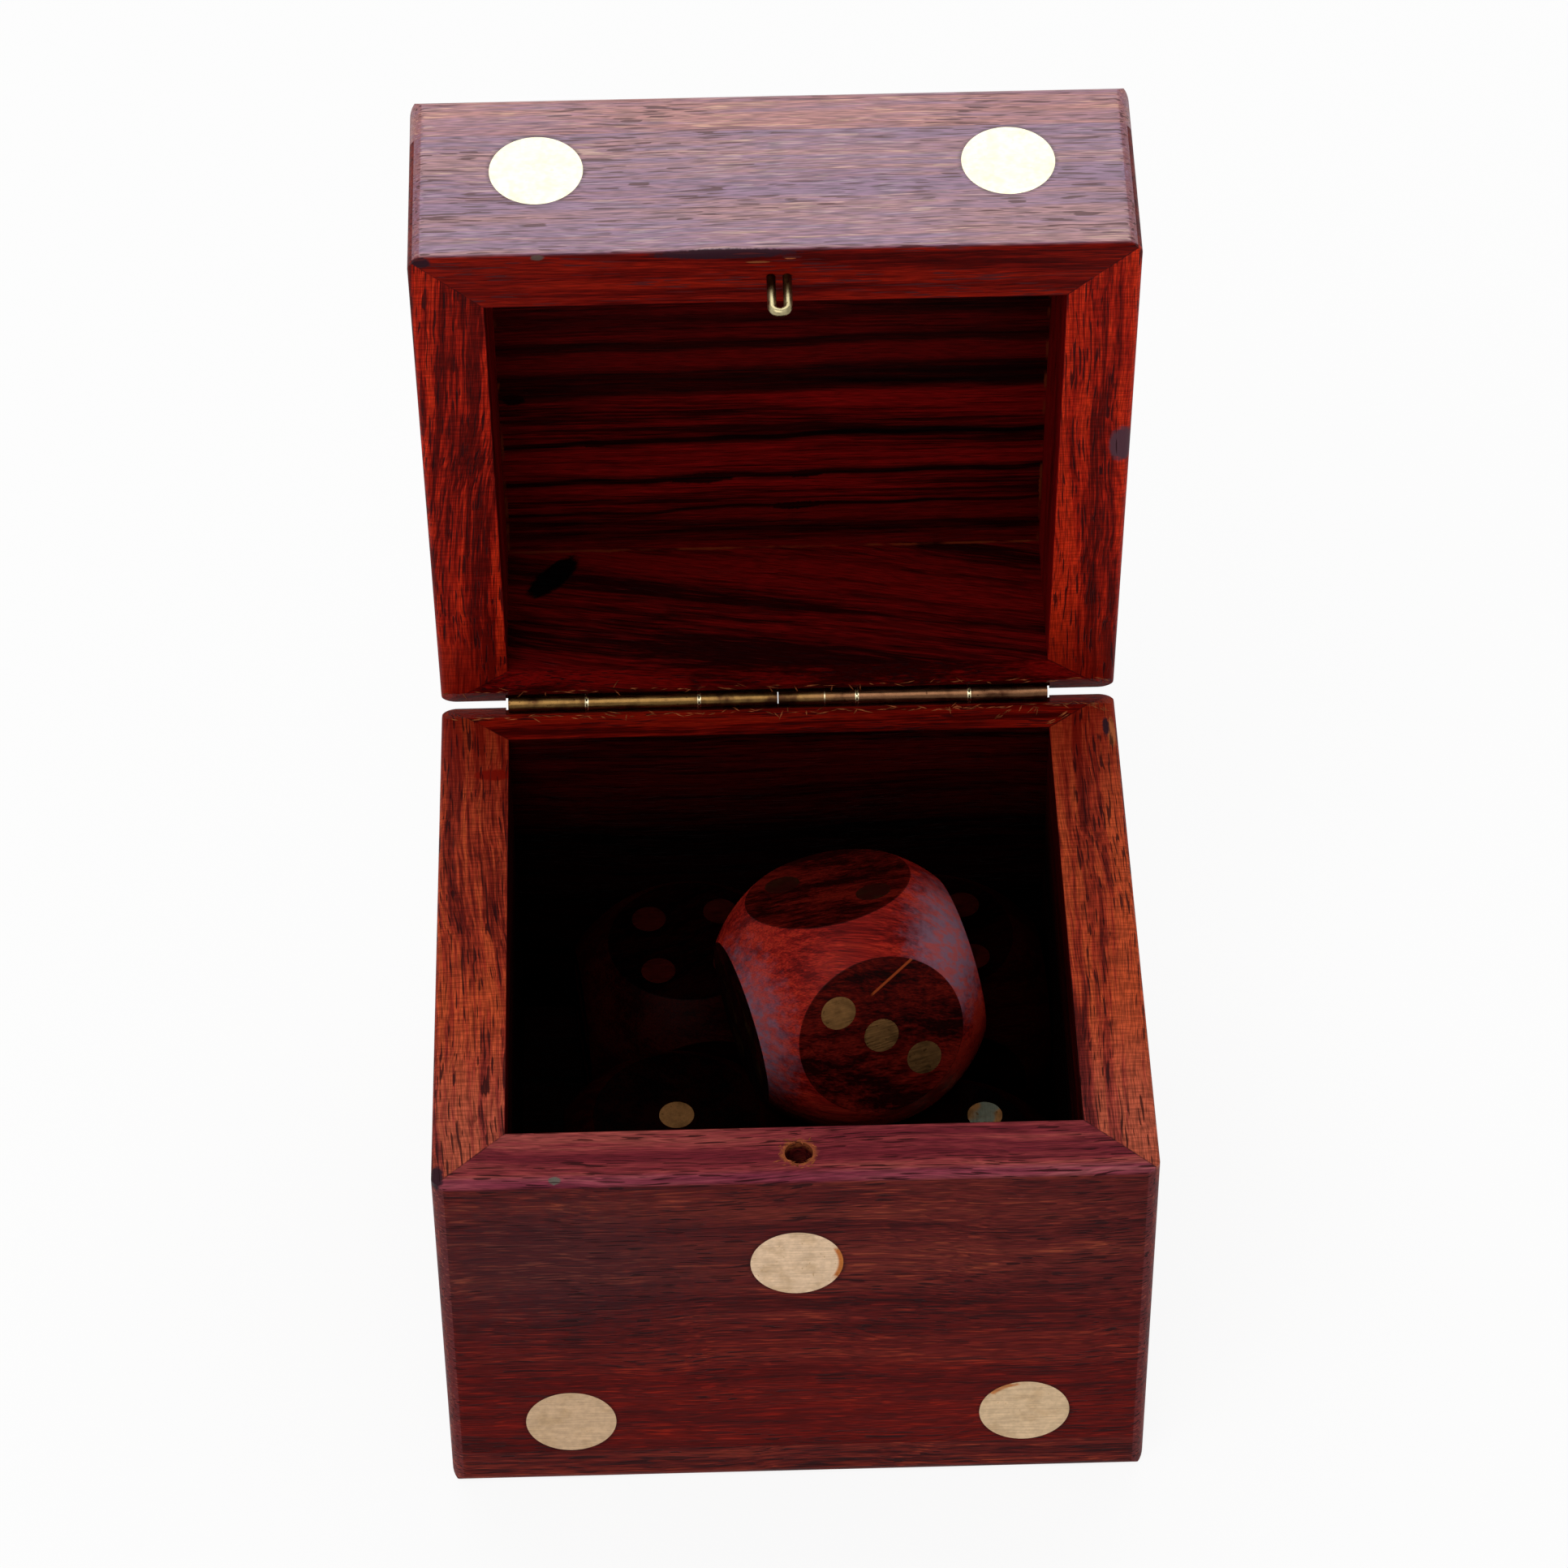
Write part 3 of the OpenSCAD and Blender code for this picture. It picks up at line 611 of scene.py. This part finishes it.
class DICEBOX_OT_discs(bpy.types.Operator):
    """Gives the brass discs their scratched metal"""

    bl_idname = "dicebox.discs"
    bl_label = "Brass discs"

    def execute(self, context):
        tints = context.scene.dice_box_colours

        def edge_of(bench, place, across, up):
            away = bench.length(bench.times(bench.plus(place, (-across, 0.0, -up)), (1.0, 0.0, 1.0)))
            return bench.ramp(away, DISC_RADIUS - 0.55, DISC_RADIUS - 0.3)

        def rust(bench, place):
            spot = bench.blot(place, (18.6, OUTER_FRONT, 11.8), (1.7, 1.0, 0.9), 0.5)
            return bench.math("MULTIPLY", spot, edge_of(bench, place, 20.6, 8.7))

        def rusty_edge(bench, place):
            spot = bench.blot(place, (4.1, OUTER_FRONT, 29.9), (1.2, 1.0, 2.6), 0.4)
            return bench.math("MULTIPLY", spot, edge_of(bench, place, 0.0, 30.1))

        def left(bench, place):
            return bench.near(bench.split(place)[0], -20.6, 5.0, 0.5)

        def right(bench, place):
            return bench.near(bench.split(place)[0], 20.6, 5.0, 0.5)

        brass = tuple(tints.body_brass)
        orange = (0.45, 0.14, 0.03)
        duller = tuple(a * b for a, b in zip(brass, (0.78, 0.745, 0.69)))
        paler = tuple(a * b for a, b in zip(brass, (0.86, 0.86, 0.80)))
        marks = ((left, duller), (right, paler), (rust, orange), (rusty_edge, orange))
        body = brushed("Body discs", own_place, brass, (0.45, 0.29, 0.15), 0.36, marks=marks)
        # The lid's discs are paler brass, partly painted reflection
        lid = brushed("Lid discs", shut_place, tuple(tints.lid_brass), (0.66, 0.60, 0.36), 0.42, dirt=0.35)
        for name in BODY_DISCS:
            wear(name, body)
        for name in LID_DISCS:
            wear(name, lid)
        return {"FINISHED"}


class DICEBOX_OT_hinges(bpy.types.Operator):
    """Gives the hinges and their nails their darkened brass"""

    bl_idname = "dicebox.hinges"
    bl_label = "Hinges and nails"

    def execute(self, context):
        tints = context.scene.dice_box_colours

        # A scratch at 4.4, and painted highlights at the knuckle ends that stand in for glints at the joints
        def scratch_and_glints(bench, place):
            along = bench.split(place)[0]
            scored = bench.math("MULTIPLY", bench.near(along, 4.4, 0.03, 0.05), 0.6)
            return bench.any_of([scored] + [bench.near(along, end, 0.12, 0.08) for end in KNUCKLE_ENDS])

        def coppery(bench, place):
            return bench.ramp(bench.split(place)[0], 0.0, 8.0, 0.0, 0.8)

        for name in HINGE_PIECES + NAILS:
            place_of = shut_place if "lid" in name else own_place
            marks = ((coppery, (0.150, 0.066, 0.036)), (scratch_and_glints, (0.75, 0.66, 0.42)))
            if name in NAILS:
                marks = ()
            brass = brushed(
                name.replace("_", " "), place_of, tuple(tints.hinge_brass), (0.035, 0.012, 0.006), 0.24,
                (0.35, 5.0, 5.0), 0.9, marks,
            )
            wear(name, brass)
        return {"FINISHED"}


class DICEBOX_OT_catch(bpy.types.Operator):
    """Gives the wire catch its brass"""

    bl_idname = "dicebox.catch"
    bl_label = "Wire catch"

    def execute(self, context):
        tints = context.scene.dice_box_colours

        # Darker where the wire leaves the lid's rim
        def rim_end(bench, place):
            return bench.ramp(bench.split(place)[2], 38.6, 40.4)

        wire = brushed(
            "Catch wire", shut_place, tuple(tints.wire_brass), (0.16, 0.12, 0.05), 0.3,
            (3.0, 3.0, 1.0), 0.6, ((rim_end, (0.045, 0.022, 0.006)),),
        )
        wear("catch_loop", wire)
        return {"FINISHED"}


def die_turn(name):
    """The rotation of a die and the middle of its node."""
    turn = Matrix.Identity(3)
    for angles in DICE[name]:
        turn = Euler([math.radians(angle) for angle in angles], "XYZ").to_matrix() @ turn
    low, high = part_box(name)
    return turn, (Vector(low) + Vector(high)) / 2


class DICEBOX_OT_dice(bpy.types.Operator):
    """Gives the dice their polished wood and brass spots"""

    bl_idname = "dicebox.dice"
    bl_label = "Dice and spots"

    def execute(self, context):
        tints = context.scene.dice_box_colours
        for seed, name in enumerate(DICE):
            turn, middle = die_turn(name)
            wear(name, self.wood(name, seed, turn, middle, tints))
            wear(name + "_spots", self.brass(name, turn, middle, tints))
        return {"FINISHED"}

    def wood(self, name, seed, turn, middle, tints):
        """Polished wood: brighter on the rounded sides, dull on the sawn flats, with painted sheen and
        painted shade on the top die, and the lower dice painted almost black as shade.
        """
        top = name == "die_top"
        # Painted shade: the lower dice, down in the hollow, are painted almost black
        share = 1.0 if top else 0.035
        bench = Bench(name.replace("_", " "))
        place = own_place(bench, turn.inverted(), middle)
        across, _, up = bench.split(place)
        grain = grain_of(bench, place, seed + 21, False, (0.3, 0.3), 1.5)
        reach = bench.any_of([bench.math("ABSOLUTE", part) for part in bench.split(place)])
        flat = bench.ramp(reach, DIE_HALF - 0.06, DIE_HALF - 0.03)
        sides = wooden(bench, grain, around([share * part for part in tints.die_round], 0.45, 1.5), 0.16)
        faces = wooden(bench, grain, around([share * part for part in tints.die_flat], 0.2, 2.2), 0.16)
        if top:
            world = own_place(bench)
            centre = tuple(middle / MM)
            # Painted sheen: grey-purple streaked patches on the top die's two shoulders stand in for the
            # light's reflection
            for step, reach_of in (((-9.0, -6.5, 2.5), (3.6, 6.0, 5.0)), ((8.5, -3.0, 8.0), (3.2, 6.0, 4.6))):
                spot = tuple(a + b for a, b in zip(centre, step))
                painted_sheen = bench.blot(world, spot, reach_of, 0.6, 0.7)
                streaked = bench.ramp(grain["streaks"], 0.40, 0.60)
                sheen_grey = bench.mix(streaked, (0.20, 0.105, 0.150), (0.33, 0.070, 0.075))
                sides = bench.mix(bench.math("MULTIPLY", painted_sheen, 0.9), sides, sheen_grey)
            slope = bench.math("SUBTRACT", up, bench.math("MULTIPLY", across, 0.535))
            scratch = bench.all_of([bench.near(slope, 4.24, 0.09, 0.10), bench.near(across, 2.1, 1.9, 0.5)])
            faces = bench.mix(scratch, faces, (0.30, 0.050, 0.012))
            # Painted shade: the top die darkens towards its lower left, and its left flat face is darker
            # still
            from_middle = bench.plus(world, tuple(-part for part in centre))
            beside, _, above = bench.split(from_middle)
            depth = bench.math("ADD", above, bench.math("MULTIPLY", beside, 0.5))
            sides = bench.dim(sides, bench.ramp(depth, -9.5, -2.0, 0.02, 1.0))
            faces = bench.dim(faces, bench.ramp(depth, -10.0, -2.0, 0.25, 1.0))
            faces = bench.dim(faces, bench.ramp(across, 0.1 - DIE_HALF, 0.2 - DIE_HALF, 0.15, 1.0))
        tint = bench.mix(flat, sides, faces)
        rough = bench.ramp(grain["fibres"], 0.3, 0.7, 0.34, 0.48)
        constants = {"Specular IOR Level": 0.045 if top else 0.008}
        return bench.finish(tint, rough, grain["threads"], 0.02, **constants)

    def brass(self, name, turn, middle, tints):
        """Dull brass of the spots: the back dice's spots dim red as painted shade, the top die's dark red on
        its upper face and darkest on its left face as painted shade.
        """
        # Painted shade: the back dice's spots are dim red
        spot_in_shade = (0.070, 0.006, 0.004)
        tint = spot_in_shade if name.startswith("die_back") else tuple(tints.spot_brass)

        def dice_place(bench):
            return own_place(bench, turn.inverted(), middle)

        def upper_face(bench, place):
            return bench.ramp(bench.split(place)[2], DIE_HALF - 2.0, DIE_HALF - 1.5)

        def shaded(bench, place):
            return bench.ramp(bench.split(place)[0], 2.0 - DIE_HALF, 1.5 - DIE_HALF)

        def greenish(bench, place):
            return bench.ramp(bench.noise(bench.times(own_place(bench), (0.35, 0.35, 0.35)), 1.0), 0.45, 0.55)

        marks = {
            "die_top": ((upper_face, (0.110, 0.016, 0.010)), (shaded, (0.020, 0.004, 0.002))),
            "die_front_right": ((greenish, (0.150, 0.165, 0.120)),),
        }
        dark = tuple(0.35 * part for part in tint)
        return brushed(
            name.replace("_", " ") + " spots", dice_place, tint, dark, 0.42,
            (0.5, 8.0, 8.0), 0.6, marks.get(name, ()),
        )


def sliver(mesh, foot, heading, length, thick, rise):
    """One torn fibre: a thin pointed spindle with its foot on the wood and its tip a little raised."""
    heading = Vector(heading).normalized()
    side = heading.cross(Vector((0, 0, 1))).normalized()
    up = Vector((0, 0, 1))
    foot = Vector(foot)
    tip = foot + heading * length + up * rise
    waist = foot + heading * length * 0.4 + up * (0.3 * rise)
    steps = (side * thick, up * 0.5 * thick, side * -thick, up * -0.5 * thick)
    ring = [mesh.verts.new((waist + step) * MM) for step in steps]
    ends = [mesh.verts.new(end * MM) for end in (foot, tip)]
    for first in range(4):
        second = (first + 1) % 4
        mesh.faces.new((ring[second], ring[first], ends[0]))
        mesh.faces.new((ring[first], ring[second], ends[1]))


def sliver_piece(name, body, slivers, material, lid):
    """All the torn fibres of one rim as one piece."""
    shape = bmesh.new()
    for one in slivers:
        sliver(shape, *one)
    if lid:
        turn, axis = lid_turn()
        swing = Matrix.Translation(axis) @ turn.inverted().to_4x4() @ Matrix.Translation(-axis)
        bmesh.ops.transform(shape, matrix=swing, verts=shape.verts)
    bmesh.ops.recalc_face_normals(shape, faces=shape.faces)
    mesh = bpy.data.meshes.new(name)
    shape.to_mesh(mesh)
    shape.free()
    piece = bpy.data.objects.new(name, mesh)
    bpy.context.scene.collection.objects.link(piece)
    mesh.materials.append(material)
    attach(piece, body)


class DICEBOX_OT_splinters(bpy.types.Operator):
    """Makes the torn fibres round the catch hole and along the rims at the hinges"""

    bl_idname = "dicebox.splinters"
    bl_label = "Splinters"

    def execute(self, context):
        tints = context.scene.dice_box_colours
        draw = random.Random(7)
        hole = self.round_hole(draw)
        torn = self.fibre("Torn hole", tints)
        sliver_piece("catch_hole_splinters", "box_body", hole, torn, False)
        body = self.along_rim(draw, BODY_RIM, 1.0, 90) + self.at_corner(draw)
        torn = self.fibre("Torn body rim", tints)
        sliver_piece("body_rim_splinters", "box_body", body, torn, False)
        lid = self.along_rim(draw, LID_RIM, -1.0, 60)
        sliver_piece("lid_rim_splinters", "lid", lid, self.fibre("Torn lid rim", tints), True)
        return {"FINISHED"}

    def fibre(self, name, tints):
        """Raw torn wood."""
        bench = Bench(name)
        place = own_place(bench)
        cloud = bench.noise(bench.times(place, (1.3, 1.3, 1.3)), 2.0)
        dark = tuple(0.35 * part for part in tints.torn)
        tint = bench.shades(cloud, ((0.35, dark), (0.65, tuple(tints.torn))))
        constants = {"Specular IOR Level": 0.05}
        return bench.finish(tint, 0.7, cloud, 0.02, **constants)

    def round_hole(self, draw):
        """Fibres that lie round the edge of the catch hole and reach into it."""
        slivers = []
        count = 46
        for step in range(count):
            angle = math.tau * (step + draw.random()) / count
            outward = Vector((math.cos(angle), math.sin(angle), 0))
            foot = Vector(HOLE) + outward * (HOLE_RADIUS + draw.uniform(0.08, 0.5))
            inward = outward * draw.uniform(-1.0, 0.1)
            heading = inward + Vector((draw.uniform(-1.0, 1.0), draw.uniform(-0.4, 0.4), 0))
            heading.normalize()
            length = draw.uniform(0.35, 0.9)
            for _ in range(6):
                if self.in_the_way(foot + heading * length - Vector(HOLE)):
                    length *= 0.6
            slivers.append((foot, heading, length, draw.uniform(0.05, 0.09), draw.uniform(0.0, 0.05)))
        return slivers

    def in_the_way(self, reach):
        """Whether a tip lies where the wire catch passes."""
        return reach.length < HOLE_RADIUS + 0.06 and abs(reach.y) < 0.85

    def along_rim(self, draw, rim, up, count):
        """Fibres along the edge of the bevel at the back of a rim."""
        slivers = []
        for step in range(count):
            across = -31.0 + 62.0 * (step + draw.random()) / count
            foot = (across, BEVEL_TOP + draw.uniform(-0.25, 0.15), rim)
            heading = (draw.uniform(-1.0, 1.0), draw.uniform(-0.3, 0.3), 0)
            lift = up * draw.uniform(0.0, 0.05)
            slivers.append((foot, heading, draw.uniform(0.5, 1.5), draw.uniform(0.04, 0.085), lift))
        return slivers

    def at_corner(self, draw):
        """Longer fibres near the back right corner of the body's rim."""
        slivers = []
        for foot, heading, length in (
            ((15.6, 28.2, BODY_RIM), (0.8, -0.5, 0), 0.8),
            ((16.4, 28.2, BODY_RIM), (0.6, 0.4, 0), 0.8),
            ((17.2, 28.1, BODY_RIM), (-0.8, 0.5, 0), 0.7),
            ((21.8, 27.8, BODY_RIM), (-1.0, -0.8, 0), 1.0),
            ((21.1, 27.2, BODY_RIM), (-0.9, -0.9, 0), 1.1),
            ((24.4, 28.1, BODY_RIM), (-0.5, -1.0, 0), 1.4),
            ((27.0, 28.2, BODY_RIM), (0.5, -1.0, 0), 0.9),
            ((27.3, 27.3, BODY_RIM), (-0.8, -0.7, 0), 1.4),
            ((26.0, 26.2, BODY_RIM), (-0.8, -0.7, 0), 1.2),
            ((29.4, 28.2, BODY_RIM), (0.9, -0.3, 0), 1.3),
            ((30.4, 27.8, BODY_RIM), (0.8, -0.6, 0), 1.1),
            ((31.1, 26.6, BODY_RIM), (0.1, -1.0, 0), 1.8),
            ((31.15, 24.6, BODY_RIM), (0.0, -1.0, 0), 2.0),
        ):
            for _ in range(3):
                start = Vector(foot) + Vector((draw.uniform(-0.2, 0.2), draw.uniform(-0.2, 0.2), 0))
                turned = Vector(heading) + Vector((draw.uniform(-0.3, 0.3), draw.uniform(-0.3, 0.3), 0))
                reach = length * draw.uniform(0.6, 1.0)
                slivers.append((start, turned, reach, draw.uniform(0.04, 0.07), draw.uniform(0.02, 0.08)))
        return slivers


def lamp(name, place, target, width, height, power):
    """A soft rectangular lamp that looks at a target."""
    data = bpy.data.lights.new(name, "AREA")
    data.shape = "RECTANGLE"
    data.size = width
    data.size_y = height
    data.energy = power
    light = bpy.data.objects.new(name, data)
    light.location = place
    light.rotation_euler = (Vector(target) - Vector(place)).to_track_quat("-Z", "Y").to_euler()
    bpy.context.scene.collection.objects.link(light)


class DICEBOX_OT_stage(bpy.types.Operator):
    """Sets up the camera, the pale floor and the soft studio light"""

    bl_idname = "dicebox.stage"
    bl_label = "Camera, floor and light"

    def execute(self, context):
        scene = context.scene
        self.camera(scene)
        self.floor(scene)
        self.world(scene)
        lamp("Key softbox", (-0.35, -0.75, 1.35), (0, 0, 0.05), 1.1, 1.1, 10.0)
        lamp("Back softbox", (0.0, 0.85, 1.35), (0, 0, 0.08), 1.4, 0.8, 8.0)
        scene.view_settings.view_transform = "Standard"
        return {"FINISHED"}

    def camera(self, scene):
        """The photograph's view."""
        data = bpy.data.cameras.new("Camera")
        data.sensor_width = 36.0
        data.lens = 6826.5 * 36.0 / 1932.0
        data.clip_start = 0.01
        data.clip_end = 20.0
        camera = bpy.data.objects.new("Camera", data)
        scene.collection.objects.link(camera)
        rise, swing, roll = math.radians(44.73), math.radians(-1.23), math.radians(-0.48)
        back = Vector((math.sin(swing) * math.cos(rise), -math.cos(swing) * math.cos(rise), math.sin(rise)))
        right = (-back).cross(Vector((0, 0, 1))).normalized()
        up = right.cross(-back)
        across = math.cos(roll) * right + math.sin(roll) * up
        upward = -math.sin(roll) * right + math.cos(roll) * up
        target = Vector((0.289, 19.825, 40.0)) * MM
        place = target + back * 517.32 * MM
        turn = Matrix((across, upward, back)).transposed()
        camera.matrix_world = Matrix.Translation(place) @ turn.to_4x4()
        scene.camera = camera

    def floor(self, scene):
        """A pale floor that keeps the shadow."""
        half = scene.dice_box_sizes.floor_width / 2
        mesh = bpy.data.meshes.new("Floor")
        corners = [(-half, -half, 0), (half, -half, 0), (half, half, 0), (-half, half, 0)]
        mesh.from_pydata(corners, [], [(0, 1, 2, 3)])
        floor = bpy.data.objects.new("Floor", mesh)
        scene.collection.objects.link(floor)
        bench = Bench("Pale floor")
        path = bench.put("ShaderNodeLightPath", {})
        seen = bench.any_of([path.outputs["Is Camera Ray"], path.outputs["Is Glossy Ray"]])
        matt = bench.put("ShaderNodeBsdfDiffuse", {"Color": (0.94, 0.94, 0.94)})
        glow = bench.put("ShaderNodeEmission", {"Color": (1.0, 1.0, 1.0), "Strength": 1.0})
        share = bench.math("MULTIPLY", seen, 0.9)
        mixed = bench.put("ShaderNodeMixShader", {0: share, 1: matt.outputs[0], 2: glow.outputs[0]})
        bench.put("ShaderNodeOutputMaterial", {"Surface": mixed.outputs[0]})
        mesh.materials.append(bench.material)

    def world(self, scene):
        """Even light from all round, white where it is seen."""
        world = bpy.data.worlds.new("Studio")
        world.use_nodes = True
        scene.world = world
        tree = world.node_tree
        tree.nodes.clear()
        path = tree.nodes.new("ShaderNodeLightPath")
        seen = tree.nodes.new("ShaderNodeMath")
        seen.operation = "MAXIMUM"
        tree.links.new(path.outputs["Is Camera Ray"], seen.inputs[0])
        tree.links.new(path.outputs["Is Glossy Ray"], seen.inputs[1])
        level = tree.nodes.new("ShaderNodeMapRange")
        level.inputs["To Min"].default_value = 0.42
        level.inputs["To Max"].default_value = 1.0
        tree.links.new(seen.outputs[0], level.inputs["Value"])
        back = tree.nodes.new("ShaderNodeBackground")
        tree.links.new(level.outputs["Result"], back.inputs["Strength"])
        out = tree.nodes.new("ShaderNodeOutputWorld")
        tree.links.new(back.outputs[0], out.inputs["Surface"])


class DICEBOX_PT_panel(bpy.types.Panel):
    """Lists the steps of the dice box"""

    bl_label = "Dice box"
    bl_idname = "DICEBOX_PT_panel"
    bl_space_type = "VIEW_3D"
    bl_region_type = "UI"
    bl_category = "Dice Box"

    def draw(self, context):
        for step in STEPS:
            self.layout.operator(step.bl_idname)
        for group in (context.scene.dice_box_sizes, context.scene.dice_box_colours):
            for name in group.bl_rna.properties.keys():
                if name not in ("rna_type", "name"):
                    self.layout.prop(group, name)


STEPS = (
    DICEBOX_OT_stage,
    DICEBOX_OT_body_boards,
    DICEBOX_OT_lid_boards,
    DICEBOX_OT_discs,
    DICEBOX_OT_hinges,
    DICEBOX_OT_catch,
    DICEBOX_OT_dice,
    DICEBOX_OT_splinters,
)
CLASSES = (DiceBoxSizes, DiceBoxColours) + STEPS + (DICEBOX_PT_panel,)


def register():
    """Makes the classes and their settings known to Blender."""
    for known in CLASSES:
        bpy.utils.register_class(known)
    bpy.types.Scene.dice_box_sizes = PointerProperty(type=DiceBoxSizes)
    bpy.types.Scene.dice_box_colours = PointerProperty(type=DiceBoxColours)


def unregister():
    """Takes the settings and classes away again."""
    del bpy.types.Scene.dice_box_colours
    del bpy.types.Scene.dice_box_sizes
    for known in reversed(CLASSES):
        bpy.utils.unregister_class(known)


def main():
    """Makes the whole scene."""
    register()
    for step in STEPS:
        group, name = step.bl_idname.split(".")
        getattr(getattr(bpy.ops, group), name)()


if __name__ == "__main__":
    main()
